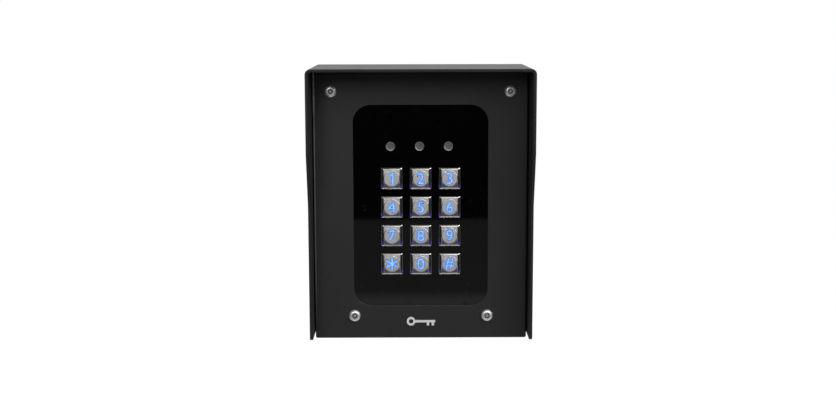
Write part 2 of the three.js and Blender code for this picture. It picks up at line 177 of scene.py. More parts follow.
class Finish(Nodes):
    """One procedural material under construction."""

    def __init__(self, name, **uniform):
        self.material = bpy.data.materials.new(name)
        self.material.use_nodes = True
        super().__init__(self.material.node_tree)
        self.shader = self.tree.nodes.new("ShaderNodeBsdfPrincipled")
        output = self.tree.nodes.new("ShaderNodeOutputMaterial")
        self.tree.links.new(self.shader.outputs["BSDF"], output.inputs["Surface"])
        self.place = self.node("ShaderNodeTexCoord", output="Object")
        for words, value in uniform.items():
            self.set(words.replace("_", " ").title().replace("Ior", "IOR"), value)

    def set(self, socket, value):
        self.feed(self.shader.inputs[socket], value)

    def noise(self, size, detail, stretch=None):
        """Soft noise from 0 to 1 whose lumps are about `size` millimetres across."""
        place = self.place
        if stretch:
            place = self.node("ShaderNodeMapping", None, {"Vector": place, "Scale": stretch})
        sockets = {"Vector": place, "Scale": 1 / (size * MM), "Detail": detail}
        return self.node("ShaderNodeTexNoise", None, sockets)

    def cells(self, size):
        """Distance to the nearest of scattered points about `size` millimetres apart."""
        return self.node("ShaderNodeTexVoronoi", None, {"Vector": self.place, "Scale": 1 / (size * MM)})

    def axis(self, name):
        """The x, y or z of the surface point, in millimetres."""
        return self.split(self.place, name) * (1 / MM)

    def mix(self, share, first, second):
        sockets = {0: share, 6: first, 7: second}
        return self.node("ShaderNodeMix", {"data_type": "RGBA"}, sockets, output=2)

    def bump(self, height, depth, strength):
        """Relief from a 0 to 1 height, `depth` millimetres deep."""
        sockets = {"Height": height, "Distance": depth * MM, "Strength": strength}
        self.set("Normal", self.node("ShaderNodeBump", None, sockets))


def grey(level, tint=(1.0, 1.0, 1.0)):
    return (level * tint[0], level * tint[1], level * tint[2], 1.0)


# ------------------------------------------------------------------ finishes


HIGHLIGHT_SHARP_X = 0.4  # how fast the painted highlight stripe ends across the panel
HIGHLIGHT_LOW_Z, HIGHLIGHT_FADE_Z = -62, 60  # where it fades out towards the bottom
HIGHLIGHT_STRONG_Z, HIGHLIGHT_STRONG_FADE = 66, 16  # where the painted highlight is at its brightest
HIGHLIGHT_BACK, HIGHLIGHT_BACK_FADE = 2, -1.5  # how far round the fold it runs, fading backwards
INNER_SKIN = 1.1  # depth under the hood's outside from which its faces count as inner and get painted shade


def painted_highlight_stripe(coat, body, cloud, edge_x, tint):
    """A painted highlight along the panel's left fold: the coat is painted pale there, most of all near
    the top, in place of light caught by the fold.
    """
    edge = 1 - coat.axis("X").above(edge_x, HIGHLIGHT_SHARP_X)
    front = coat.axis("Y").above(FACE_Y + HIGHLIGHT_BACK, HIGHLIGHT_BACK_FADE)
    place = coat.axis("Z").above(HIGHLIGHT_LOW_Z, HIGHLIGHT_FADE_Z) * front
    strongest = coat.axis("Z").above(HIGHLIGHT_STRONG_Z, HIGHLIGHT_STRONG_FADE)
    highlight_colour = coat.mix(strongest, grey(0.24, tint), grey(0.95, tint))
    return coat.mix(edge * place * (0.7 + cloud * 0.5), body, highlight_colour)


def inner_faces(coat):
    """1 on the inner faces of the hood's sides and top, 0 on its outside."""
    side = coat.axis("X").absolute().above(HOOD_HIGH.x - INNER_SKIN, 0.5)
    top = coat.axis("Z").above(HOOD_HIGH.z - INNER_SKIN, 0.5)
    return (1 - side) * (1 - top)


def powder_coat(name, shade=1.0, inside=False, highlight_x=None):
    """Charcoal powder coat: a fine orange-peel skin with small flecks, maybe a painted highlight along
    one fold, and maybe painted shade on the hood's inner faces.
    """
    coat = Finish(name, ior=1.5)
    cloud = coat.noise(45, detail=3)
    grain = coat.noise(0.55, detail=3)
    fleck = coat.cells(1.1).above(0.82, 0.1)
    tint = (0.98, 0.99, 1.03)
    body = coat.mix(cloud, grey(0.0125 * shade, tint), grey(0.0155 * shade, tint))
    body = coat.mix(fleck * 0.3, body, grey(0.03, tint))
    # Painted highlight: a pale stripe painted along one fold of the panel.
    if highlight_x is not None:
        body = painted_highlight_stripe(coat, body, cloud, highlight_x, tint)
    rough = 0.5 + (grain - 0.5) * 0.16 + (cloud - 0.5) * 0.08
    if inside:
        # Painted shade: the hood's inner faces are painted near black, and made rougher.
        inner = inner_faces(coat)
        body = coat.mix(inner * 0.75, body, grey(0.002))
        rough = rough + inner * 0.3
    coat.set("Base Color", body)
    coat.set("Roughness", rough)
    coat.bump(grain, 0.03, strength=0.5)
    return coat.material


def gloss_black():
    """Polished black acrylic with faint wiping marks round the keys."""
    gloss = Finish("polished_black", specular_ior_level=0.3)
    smear = gloss.noise(24, detail=4, stretch=(1, 1, 0.35))
    dust = gloss.cells(2.3).above(0.86, 0.06)
    near_keys = 1 - (gloss.axis("Z") - KEYS_MIDDLE_Z).absolute().above(44, 20)
    gloss.set("Base Color", gloss.mix(dust * 0.25, grey(0.0006), grey(0.006)))
    gloss.set("Roughness", 0.025 + smear.above(0.55, 0.3) * near_keys * 0.012 + dust * 0.1)
    gloss.bump(gloss.noise(60, detail=1), 0.02, strength=0.15)
    return gloss.material


def pitch_offset(finish, name, centre):
    """Distance of the surface point from its own key's or light's centre line, in millimetres."""
    return (((finish.axis(name) - centre) / PITCH + 0.5).fraction() - 0.5) * PITCH


# The light leak in a key's lower corners: from this far across, and between these two heights
# below the key's middle.
LEAK_ACROSS, LEAK_START, LEAK_END = 5.6, 4.4, 6.1
# Painted shade, tinted blue, on a key's face: outside its disc, and from this far below the key's middle.
SHADE_REACH, SHADE_START = 5.3, 2.6


def key_chrome():
    """Bright plated metal of the key bevels, with light leaking in at the lower corners."""
    chrome = Finish("key_chrome", metallic=1.0, emission_strength=1.0)
    wear = chrome.noise(3.0, detail=3)
    across = pitch_offset(chrome, "X", 0.0).absolute()
    down = 0 - pitch_offset(chrome, "Z", KEY_TOP_Z)
    leak = across.above(LEAK_ACROSS, 0.8) * down.above(LEAK_START, 1.8) * (1 - down.above(LEAK_END, 0.5))
    chrome.set("Base Color", chrome.mix(wear, grey(0.5, (1, 0.97, 1.01)), grey(0.64, (1, 0.98, 0.98))))
    chrome.set("Roughness", 0.1 + wear * 0.12)
    chrome.set("Emission Color", chrome.mix(leak, grey(0.0), (0.025, 0.012, 0.17, 1)))
    return chrome.material


def key_satin():
    """Satin metal of the key faces, finely brushed and rubbed by fingers, with painted blue-tinted shade
    in the lower corners outside the disc.
    """
    satin = Finish("key_satin", metallic=1.0)
    brushed = satin.noise(0.9, detail=4, stretch=(0.12, 1, 1))
    rub = satin.noise(6, detail=3)
    body = satin.mix(rub, grey(0.64), grey(0.78, (1, 1, 1.02)))
    across = pitch_offset(satin, "X", 0.0)
    down = 0 - pitch_offset(satin, "Z", KEY_TOP_Z)
    reach = (across * across + down * down).root()
    corner_shade = reach.above(SHADE_REACH, 0.3) * down.above(SHADE_START, 2.4)
    # Painted shade, tinted blue, in the face's lower corners outside the disc.
    satin.set("Base Color", satin.mix(corner_shade * 0.85, body, (0.05, 0.05, 0.11, 1)))
    satin.set("Roughness", 0.5 + brushed * 0.12 + rub * 0.1)
    satin.bump(brushed, 0.008, strength=0.5)
    return satin.material


def lit_figure(name, low, high, low_glow, high_glow):
    """A lit blue figure, brighter in patches where the lamp sits close behind."""
    figure = Finish(name, roughness=0.4, emission_strength=1.0)
    patch = figure.noise(2.2, detail=2).above(0.5, 0.4)
    figure.set("Base Color", figure.mix(patch, low, high))
    figure.set("Emission Color", figure.mix(patch, low_glow, high_glow))
    return figure.material


def diffuser():
    """Translucent grey plastic of an unlit indicator, with a painted highlight round its rim, brightest
    at the bottom.
    """
    lens = Finish("grey_diffuser", specular_ior_level=0.3)
    cloud = lens.noise(1.6, detail=3)
    low, high = node_box("indicator_middle")
    radius = (high.x - low.x) / 2
    across = pitch_offset(lens, "X", (low.x + high.x) / 2)
    height = lens.axis("Z") - (low.z + high.z) / 2
    reach = (across * across + height * height).root()
    rim = reach.above(radius * 0.74, radius * 0.2)
    lower = (0 - height - across * 0.35).above(radius * 0.45, radius * 0.8)
    body = lens.mix(cloud, grey(0.095), grey(0.13))
    # Painted highlight: the rim is painted paler, most of all at the bottom.
    lens.set("Base Color", lens.mix(rim * (0.2 + lower * 0.8), body, grey(0.5)))
    lens.set("Roughness", 0.45 + cloud * 0.2)
    lens.bump(cloud, 0.01, strength=0.3)
    return lens.material


def badge_metal():
    """Pale satin stainless steel of the badge, with faint machining marks."""
    steel = Finish("badge_metal", metallic=1.0)
    mark = steel.noise(0.35, detail=3, stretch=(1, 0.3, 1))
    cloud = steel.noise(4, detail=2)
    steel.set("Base Color", steel.mix(cloud, grey(0.96), grey(1.0, (1, 0.99, 0.97))))
    steel.set("Roughness", 0.66 + mark * 0.14)
    steel.bump(mark, 0.01, strength=0.4)
    return steel.material


PIN_EDGE, SOCKET_EDGE = 1.05, 1.75  # radii of the screw's security pin and of its socket


def screw_steel():
    """Stainless steel of the panel screws, with painted shade in the socket: darkest in the groove round
    its pin, lighter on the pin.
    """
    steel = Finish("screw_steel", metallic=0.72)
    mark = steel.noise(0.5, detail=3)
    upper, lower = node_centre("panel_screw_top_right"), node_centre("panel_screw_bottom_right")
    middle = lower.x + steel.axis("Z").above(0, 1) * (upper.x - lower.x)
    across = steel.axis("X").absolute() - middle
    height = steel.axis("Z").absolute() - upper.z
    reach = (across * across + height * height).root()
    # Painted shade in the socket: mid grey on the pin, near black in the groove round it.
    inside = steel.mix(reach.above(PIN_EDGE, 0.3), grey(0.62), grey(0.2))
    bright = steel.mix(mark, grey(0.86), grey(0.98, (1, 0.995, 0.985)))
    steel.set("Base Color", steel.mix(reach.above(SOCKET_EDGE, 0.25), inside, bright))
    steel.set("Roughness", 0.26 + mark * 0.2)
    steel.bump(mark, 0.01, strength=0.3)
    return steel.material


def zinc_plate():
    """Zinc plating: a grey metal with a faint yellow and blue bloom."""
    zinc = Finish("zinc_plate", metallic=1.0)
    bloom = zinc.noise(5, detail=3)
    spangle = zinc.cells(1.4)
    zinc.set("Base Color", zinc.mix(bloom, grey(0.46, (0.97, 1, 1.06)), grey(0.6, (1.04, 1, 0.9))))
    zinc.set("Roughness", 0.3 + spangle * 0.2)
    zinc.bump(spangle, 0.01, strength=0.3)
    return zinc.material


def moulded(name, colour, roughness, relief):
    """Spark-eroded moulded plastic or rubber: fine grain and a slow change of shade."""
    plastic = Finish(name)
    grain = plastic.noise(0.7, detail=3)
    cloud = plastic.noise(14, detail=2)
    dark = tuple(channel * 0.8 for channel in colour) + (1.0,)
    light = tuple(channel * 1.25 for channel in colour) + (1.0,)
    plastic.set("Base Color", plastic.mix(cloud, dark, light))
    plastic.set("Roughness", roughness + (grain - 0.5) * 0.15)
    plastic.bump(grain, relief, strength=0.5)
    return plastic.material


def solder_mask():
    """Green circuit board with paler tracks under the mask."""
    board = Finish("solder_mask")
    weave = board.noise(0.8, detail=1)
    across = (board.axis("X") / 2.6 + board.noise(9, detail=0) * 2).fraction()
    track = across.above(0.72, 0.08) * board.noise(22, detail=0).above(0.5, 0.05)
    body = board.mix(weave * 0.4, (0.008, 0.075, 0.03, 1), (0.014, 0.1, 0.045, 1))
    board.set("Base Color", board.mix(track, body, (0.03, 0.2, 0.08, 1)))
    board.set("Roughness", 0.32 + weave * 0.1)
    board.bump(track, 0.035, strength=0.8)
    return board.material


POWDER = powder_coat("charcoal_powder_coat")
# The hood's coat has painted shade on its inner faces.
HOOD_POWDER = powder_coat("hood_powder_coat", inside=True)
# The panel's coat has a painted highlight along its left fold.
PANEL_POWDER = powder_coat("panel_powder_coat", shade=1.3, highlight_x=PANEL_LOW.x + 1.1)
GLOSS = gloss_black()
CHROME = key_chrome()
SATIN = key_satin()
FIGURE_CORE = lit_figure(
    "lit_blue_core",
    low=(0.1, 0.16, 0.4, 1),
    high=(0.14, 0.2, 0.4, 1),
    low_glow=(0.11, 0.32, 0.94, 1),
    high_glow=(0.26, 0.66, 1, 1),
)
# Painted shade: the figures' outline glows a dimmer, deeper blue than their core.
FIGURE_SHADED_EDGE = lit_figure(
    "lit_blue_shaded_edge",
    low=(0.02, 0.04, 0.2, 1),
    high=(0.04, 0.08, 0.3, 1),
    low_glow=(0.015, 0.03, 0.5, 1),
    high_glow=(0.05, 0.18, 0.85, 1),
)
DIFFUSER = diffuser()
SCREW_STEEL = screw_steel()
BADGE_METAL = badge_metal()
ZINC = zinc_plate()
RUBBER = moulded("black_rubber", (0.02, 0.02, 0.021), 0.72, 0.04)
BLACK_PLASTIC = moulded("black_plastic", (0.018, 0.018, 0.02), 0.5, 0.03)
TERMINAL_GREEN = moulded("terminal_green", (0.04, 0.26, 0.07), 0.42, 0.02)
SILICONE = moulded("clear_silicone", (0.42, 0.45, 0.48), 0.5, 0.02)
BOARD = solder_mask()


# ------------------------------------------------------------------ mesh helpers

CORNER_STEPS = 8
EDGE_ANGLE = 40  # degrees past which an edge is rounded


def arc(cx, cy, radius, start, end, steps):
    """Points along an arc, both ends included."""
    turn = (end - start) / steps
    return [
        (cx + radius * math.cos(start + turn * i), cy + radius * math.sin(start + turn * i))
        for i in range(steps + 1)
    ]


def rounded_rectangle(half_x, half_z, radius, centre_z):
    x, z = half_x - radius, half_z - radius
    return (
        arc(x, centre_z - z, radius, -QUARTER, 0, CORNER_STEPS)
        + arc(x, centre_z + z, radius, 0, QUARTER, CORNER_STEPS)
        + arc(-x, centre_z + z, radius, QUARTER, 2 * QUARTER, CORNER_STEPS)
        + arc(-x, centre_z - z, radius, 2 * QUARTER, 3 * QUARTER, CORNER_STEPS)
    )


def mesh_object(name, points, faces, finish):
    """An object from points in millimetres, with its faces turned outwards."""
    mesh = bpy.data.meshes.new(name)
    mesh.from_pydata([Vector(p) * MM for p in points], [], faces)
    work = bmesh.new()
    work.from_mesh(mesh)
    bmesh.ops.remove_doubles(work, verts=work.verts, dist=1e-7)
    bmesh.ops.recalc_face_normals(work, faces=work.faces)
    work.to_mesh(mesh)
    work.free()
    mesh.materials.append(finish)
    made = bpy.data.objects.new(name, mesh)
    bpy.context.scene.collection.objects.link(made)
    return made


def bridged(loops, ring=False):
    """Faces between loops of equal length; ring joins the last loop back to the first."""
    count = len(loops[0])
    points = [point for loop in loops for point in loop]
    faces = []
    for k in range(len(loops) if ring else len(loops) - 1):
        a, b = k * count, ((k + 1) % len(loops)) * count
        for i in range(count):
            j = (i + 1) % count
            faces.append((a + i, a + j, b + j, b + i))
    return points, faces


def shaded_smooth(mesh):
    for face in mesh.polygons:
        face.use_smooth = True


def flats_kept_flat(made):
    """Leans the smooth shading towards the large faces, so that they stay flat."""
    shaded_smooth(made.data)
    flat = made.modifiers.new("flat", "WEIGHTED_NORMAL")
    flat.keep_sharp = True


def baked(made, smooth_angle):
    """The object with its modifiers and node trees turned into plain mesh."""
    graph = bpy.context.evaluated_depsgraph_get()
    graph.update()
    mesh = bpy.data.meshes.new_from_object(made.evaluated_get(graph), depsgraph=graph)
    made.modifiers.clear()
    old = made.data
    if made.type == "MESH":
        made.data = mesh
        bpy.data.meshes.remove(old)
    shaded_smooth(mesh)
    mesh.set_sharp_from_angle(angle=math.radians(smooth_angle))
    return made


def bevelled(made, width, segments=3):
    """Rounds every sharp edge, keeps the flats flat and bakes the result."""
    edge = made.modifiers.new("edge", "BEVEL")
    edge.width = width * MM
    edge.segments = segments
    edge.limit_method = "ANGLE"
    edge.angle_limit = math.radians(EDGE_ANGLE)
    edge.use_clamp_overlap = True
    flats_kept_flat(made)
    return baked(made, smooth_angle=60)


def stands_for(made, slot, *nodes, body="root"):
    """Seats a finished piece: attaches it to its body and hides the CAD nodes it replaces; the finish
    slot is not used.
    """
    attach(made, body)
    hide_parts(*nodes)
    return made


def refined(name, node, finish, slot, width):
    """A CAD node's own shape with its edges rounded as the real piece's are."""
    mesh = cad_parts[node].data.copy()
    mesh.name = name
    mesh.materials.clear()
    mesh.materials.append(finish)
    work = bmesh.new()
    work.from_mesh(mesh)
    bmesh.ops.remove_doubles(work, verts=work.verts, dist=2e-6)
    bmesh.ops.dissolve_limit(
        work, angle_limit=math.radians(0.5), verts=work.verts, edges=work.edges
    )
    for face in work.faces:
        face.material_index = 0
    work.to_mesh(mesh)
    work.free()
    made = bpy.data.objects.new(name, mesh)
    bpy.context.scene.collection.objects.link(made)
    bevelled(made, width, segments=2)
    return stands_for(made, slot, node)


# ------------------------------------------------------------------ hood

STEP_ROUND_STEPS = 8
BEND_STEPS = 10
TOP_SPANS = 6
DEPTH_SPANS = 6
HOOD_EDGE_ROUND = 0.45


def side_edge():
    """Front edge of a hood side as (z, y), from its rounded tip up to the bend."""
    tip = HOOD_TIP_ROUND
    low, high = HOOD_LOW.z, HOOD_HIGH.z - HOOD_BEND
    points = [(z, y) for y, z in arc(HOOD_LOW_FRONT_Y + tip, low + tip, tip, 3 * QUARTER, 2 * QUARTER, 6)]
    lean = math.atan2(HOOD_SET_BACK, HOOD_STEP_TOP_Z - HOOD_STEP_LOW_Z)
    cut = HOOD_STEP_ROUND * math.tan(lean / 2)
    leans = [lean * i / STEP_ROUND_STEPS for i in range(STEP_ROUND_STEPS + 1)]
    for angle in leans:
        z = HOOD_STEP_LOW_Z - cut + HOOD_STEP_ROUND * math.sin(angle)
        points.append((z, HOOD_LOW_FRONT_Y - HOOD_STEP_ROUND * (1 - math.cos(angle))))
    for angle in reversed(leans):
        z = HOOD_STEP_TOP_Z + cut - HOOD_STEP_ROUND * math.sin(angle)
        points.append((z, HOOD_LOW.y + HOOD_STEP_ROUND * (1 - math.cos(angle))))
    start = points[-1][0]
    points += [(start + (high - start) * i / 4, HOOD_LOW.y) for i in range(1, 5)]
    return points


def hood_shell():
    """The folded hood: stations run up one side, over the top and down the other."""
    side, top = HOOD_HIGH.x, HOOD_HIGH.z
    corner = side - HOOD_BEND
    edge = side_edge()
    stations = [(-side, z, -1, 0, y) for z, y in edge]
    for x, z in arc(0, 0, 1, 2 * QUARTER, QUARTER, BEND_STEPS)[1:]:
        stations.append((-corner + HOOD_BEND * x, top - HOOD_BEND + HOOD_BEND * z, x, z, HOOD_LOW.y))
    for i in range(1, TOP_SPANS):
        stations.append((corner * (2 * i / TOP_SPANS - 1), top, 0, 1, HOOD_LOW.y))
    for x, z in arc(0, 0, 1, QUARTER, 0, BEND_STEPS):
        stations.append((corner + HOOD_BEND * x, top - HOOD_BEND + HOOD_BEND * z, x, z, HOOD_LOW.y))
    stations += [(side, z, 1, 0, y) for z, y in reversed(edge[:-1])]

    loops = []
    for x, z, nx, nz, front in stations:
        inner_x, inner_z = x - nx * HOOD_SHEET, z - nz * HOOD_SHEET
        ys = [front * i / DEPTH_SPANS for i in range(DEPTH_SPANS + 1)]
        outside = [(x, y, z) for y in ys]
        inside = [(inner_x, y, inner_z) for y in reversed(ys)]
        loops.append(outside + inside)
    points, faces = bridged(loops)
    count = len(loops[0])
    # The two sheet ends at the bottom are closed by strips of quads.
    for start in (0, (len(loops) - 1) * count):
        for i in range(DEPTH_SPANS):
            faces.append((start + i, start + i + 1, start + count - 2 - i, start + count - 1 - i))
    made = mesh_object("hood_shell", points, faces, HOOD_POWDER)
    bevelled(made, HOOD_EDGE_ROUND)
    return stands_for(made, "painted_steel", "hood")


# ------------------------------------------------------------------ front panel


PANEL_FLANGE_LOOP = 8  # distance of the supporting loops from the panel's folds
WINDOW_LIP = 4  # distance of the supporting loops from the window's edge
WINDOW_EDGE_ROUND = 0.4


def panel_shell():
    """The folded panel tray with its rounded window, as one ring of loops round the sheet."""
    half_x = PANEL_HIGH.x
    half_z = (PANEL_HIGH.z - PANEL_LOW.z) / 2
    middle = (PANEL_HIGH.z + PANEL_LOW.z) / 2
    rear = PANEL_HIGH.y
    sheet, bend = PANEL_SHEET, PANEL_BEND
    loops = []

    def outline(inset, y, radius):
        shape = rounded_rectangle(half_x - inset, half_z - inset, radius, middle)
        loops.append([(x, y, z) for x, z in shape])

    def window(grow, y):
        half = WINDOW_HALF
        shape = rounded_rectangle(half.x + grow, half.y + grow, WINDOW_ROUND + grow, WINDOW_Z)
        loops.append([(x, y, z) for x, z in shape])

    edge = WINDOW_EDGE_ROUND
    outline(0, rear, PANEL_CORNER)
    outline(0, rear - PANEL_FLANGE_LOOP, PANEL_CORNER)
    for inset, y in arc(bend, FACE_Y + bend, bend, 2 * QUARTER, 3 * QUARTER, 8):
        outline(inset, y, PANEL_CORNER - inset)
    outline(PANEL_FLANGE_LOOP, FACE_Y, 1.0)
    window(WINDOW_LIP, FACE_Y)
    for grow, y in arc(edge, FACE_Y + edge, edge, 3 * QUARTER, 2 * QUARTER, 4):
        window(grow, y)
    window(0, FACE_Y + sheet)
    window(WINDOW_LIP, FACE_Y + sheet)
    outline(PANEL_FLANGE_LOOP, FACE_Y + sheet, 1.0)
    outline(sheet, FACE_Y + sheet, PANEL_INNER_CORNER)
    outline(sheet, rear, PANEL_INNER_CORNER)
    points, faces = bridged(loops, ring=True)
    made = mesh_object("panel_shell", points, faces, PANEL_POWDER)
    flats_kept_flat(made)
    baked(made, smooth_angle=50)
    return stands_for(made, "painted_steel", "front_panel")


# ------------------------------------------------------------------ node trees


class Tree:
    """A Geometry Nodes tree whose sizes are named inputs."""

    def __init__(self, name, inputs):
        self.group = bpy.data.node_groups.new(name, "GeometryNodeTree")
        face = self.group.interface
        face.new_socket("Geometry", in_out="INPUT", socket_type="NodeSocketGeometry")
        for label, kind in inputs.items():
            face.new_socket(label, in_out="INPUT", socket_type=f"NodeSocket{kind}")
        face.new_socket("Geometry", in_out="OUTPUT", socket_type="NodeSocketGeometry")
        self.given = self.group.nodes.new("NodeGroupInput").outputs

    def node(self, kind, settings=None, sockets=None):
        """A node with its settings made first, then the values or links of its sockets."""
        made = self.group.nodes.new(kind)
        for key, value in (settings or {}).items():
            setattr(made, key, value)
        for key, value in (sockets or {}).items():
            if isinstance(value, (list, tuple)) and value and hasattr(value[0], "links"):
                for one in value:
                    self.group.links.new(one, made.inputs[key])
            elif hasattr(value, "links"):
                self.group.links.new(value, made.inputs[key])
            else:
                made.inputs[key].default_value = value
        return made.outputs

    def resized(self, mesh, top, factor, axis=None):
        """Scales a face about its middle, all ways or along one axis."""
        settings = {"domain": "FACE", "scale_mode": "SINGLE_AXIS" if axis else "UNIFORM"}
        sockets = {"Geometry": mesh, "Selection": top, "Scale": factor}
        if axis:
            sockets["Axis"] = axis
        return self.node("GeometryNodeScaleElements", settings, sockets)["Geometry"]

    def stack(self, start, steps, crown=None):
        """Grows a closed solid from a face; a step is (height, size, width share) from the start."""
        mesh, top = start, None
        height, size, share = 0.0, 1.0, 1.0
        for step in steps:
            next_height, next_size = step[:2]
            next_share = step[2] if len(step) > 2 else share
            sockets = {"Mesh": mesh, "Offset Scale": next_height - height, "Individual": False}
            if top is not None:
                sockets["Selection"] = top
            grown = self.node("GeometryNodeExtrudeMesh", {"mode": "FACES"}, sockets)
            mesh, top = grown["Mesh"], grown["Top"]
            if next_size != size:
                mesh = self.resized(mesh, top, next_size / size)
            if next_share != share:
                mesh = self.resized(mesh, top, next_share / share, (1.0, 0.0, 0.0))
            height, size, share = next_height, next_size, next_share
        if crown is not None:
            sockets = {"Geometry": mesh, "Selection": top, "Material": crown}
            mesh = self.node("GeometryNodeSetMaterial", None, sockets)["Geometry"]
        under = self.node("GeometryNodeFlipFaces", None, {"Mesh": start})["Mesh"]
        both = self.node("GeometryNodeJoinGeometry", None, {"Geometry": (mesh, under)})["Geometry"]
        sockets = {"Geometry": both, "Distance": 1e-5}
        return self.node("GeometryNodeMergeByDistance", None, sockets)["Geometry"]

    def disc(self, sides):
        """A flat disc one unit across its radius."""
        sockets = {"Vertices": sides, "Radius": 1.0}
        return self.node("GeometryNodeMeshCircle", {"fill_type": "NGON"}, sockets)["Mesh"]

    def square(self, fillet):
        """A flat square of half side one with rounded corners."""
        sides = {"Width": 2.0, "Height": 2.0}
        outline = self.node("GeometryNodeCurvePrimitiveQuadrilateral", None, sides)["Curve"]
        sockets = {"Curve": outline, "Radius": fillet, "Count": 5}
        rounded = self.node("GeometryNodeFilletCurve", {"mode": "POLY"}, sockets)["Curve"]
        return self.node("GeometryNodeFillCurve", {"mode": "NGONS"}, {"Curve": rounded})["Mesh"]

    def scaled(self, mesh, width, depth):
        """Unit width and depth become the sizes of two inputs, facing +Z."""
        scale = self.node("ShaderNodeCombineXYZ", None, {"X": width, "Y": width, "Z": depth})["Vector"]
        return self.node("GeometryNodeTransform", None, {"Geometry": mesh, "Scale": scale})["Geometry"]

    def painted(self, mesh, material):
        sockets = {"Geometry": mesh, "Material": material}
        return self.node("GeometryNodeSetMaterial", None, sockets)["Geometry"]

    def finish_with(self, mesh):
        real = self.node("GeometryNodeRealizeInstances", None, {"Geometry": mesh})["Geometry"]
        self.group.links.new(real, self.group.nodes.new("NodeGroupOutput").inputs["Geometry"])

    def grown_on(self, name, places, **values):
        """A plain mesh object: the tree run on loose points, then turned into mesh."""
        mesh = bpy.data.meshes.new(name)
        mesh.from_pydata([Vector(p) * MM for p in places], [], [])
        made = bpy.data.objects.new(name, mesh)
        bpy.context.scene.collection.objects.link(made)
        modifier = made.modifiers.new("grow", "NODES")
        modifier.node_group = self.group
        for item in self.group.interface.items_tree:
            if item.in_out == "INPUT" and item.name in values:
                modifier[item.identifier] = values[item.name]
        return baked(made, smooth_angle=34)


FACE_FRONT = (QUARTER, 0.0, 0.0)  # turns a solid that faces +Z to face -Y
TWIST_SEED = 4


def placed_copies(tree, solid, twist=0.0):
    """Copies of a solid on the tree's points, facing -Y, each turned a little at random."""
    turned = tree.node("GeometryNodeTransform", None, {"Geometry": solid, "Rotation": FACE_FRONT})
    sockets = {"Points": tree.given["Geometry"], "Instance": turned["Geometry"]}
    if twist:
        limits = {"Min": (0.0, -twist, 0.0), "Max": (0.0, twist, 0.0), "Seed": TWIST_SEED}
        spin = tree.node("FunctionNodeRandomValue", {"data_type": "FLOAT_VECTOR"}, limits)
        sockets["Rotation"] = spin["Value"]
    return tree.node("GeometryNodeInstanceOnPoints", None, sockets)["Instances"]


# ------------------------------------------------------------------ screws

SCREW_SIDES = 40


def screw_tree():
    """A button head with a round socket and a security pin in it, facing -Y."""
    tree = Tree("button_screw", {"Radius": "Float", "Height": "Float", "Metal": "Material"})
    crown = [(0.30, 1.0), (0.52, 0.97), (0.72, 0.90), (0.86, 0.81), (0.96, 0.69), (1.0, 0.58)]
    socket = [(0.98, 0.50), (0.90, 0.46), (0.25, 0.44)]
    pin = [(0.25, 0.23), (0.86, 0.22), (0.95, 0.17), (0.97, 0.10)]
    head = tree.stack(tree.disc(SCREW_SIDES), [(0.04, 0.985)] + crown + socket + pin)
    sized = tree.scaled(head, tree.given["Radius"], tree.given["Height"])
    copies = placed_copies(tree, sized, twist=math.pi)
    tree.finish_with(tree.painted(copies, tree.given["Metal"]))
    return tree


def panel_screws():
    nodes = [f"panel_screw_{corner}" for corner in CORNERS]
    low, high = node_box(nodes[0])
    places = [(node_centre(n).x, FACE_Y, node_centre(n).z) for n in nodes]
    made = screw_tree().grown_on(
        "panel_screws",
        places,
        Radius=(high.x - low.x) / 2 * MM,
        Height=(FACE_Y - low.y) * MM,
        Metal=SCREW_STEEL,
    )
    return stands_for(made, "stainless_steel", *nodes)


# ------------------------------------------------------------------ indicators

LENS_SIDES = 48


def indicator_tree():
    """A round diffuser with a softly rounded rim about a slightly dished middle."""
    tree = Tree("indicator_lens", {"Radius": "Float", "Height": "Float", "Plastic": "Material"})
    rim = [(0.9, 1.0), (0.95, 0.985), (0.985, 0.95), (1.0, 0.89)]
    dish = [(0.99, 0.82), (0.93, 0.7), (0.92, 0.4)]
    lens = tree.stack(tree.disc(LENS_SIDES), rim + dish)
    sized = tree.scaled(lens, tree.given["Radius"], tree.given["Height"])
    tree.finish_with(tree.painted(placed_copies(tree, sized), tree.given["Plastic"]))
    return tree


def indicator_lenses():
    low, high = node_box(INDICATORS[0])
    places = [(node_centre(n).x, high.y, node_centre(n).z) for n in INDICATORS]
    made = indicator_tree().grown_on(
        "indicator_lenses",
        places,
        Radius=(high.x - low.x) / 2 * MM,
        Height=(high.y - low.y) * MM,
        Plastic=DIFFUSER,
    )
    return stands_for(made, "diffuser", *INDICATORS)


# ------------------------------------------------------------------ keys

KEY_BODY_HALF = 7.05
KEY_CORNER_ROUND = 0.06  # share of the half side
KEY_FACE_HALF = 5.88
KEY_FACE_WIDTH_SHARE = 0.885  # the face is a little narrower than it is high
KEY_RIM_DROP = 0.93  # from the face back to where the bevel starts
KEY_SINK = 0.034  # of the key's depth, from the disc's face back to the cap's
DISC_SHARE = 0.757  # disc radius to half side
KEY_DISC_SIDES = 56
# Distance from the middle and depth below the face, from the wall in over the rounded bevel.
KEY_BEVEL = [(7.0, 0.87), (6.38, 0.25), (6.24, 0.141), (6.1, 0.063), (5.98, 0.018), (KEY_FACE_HALF, 0.0)]


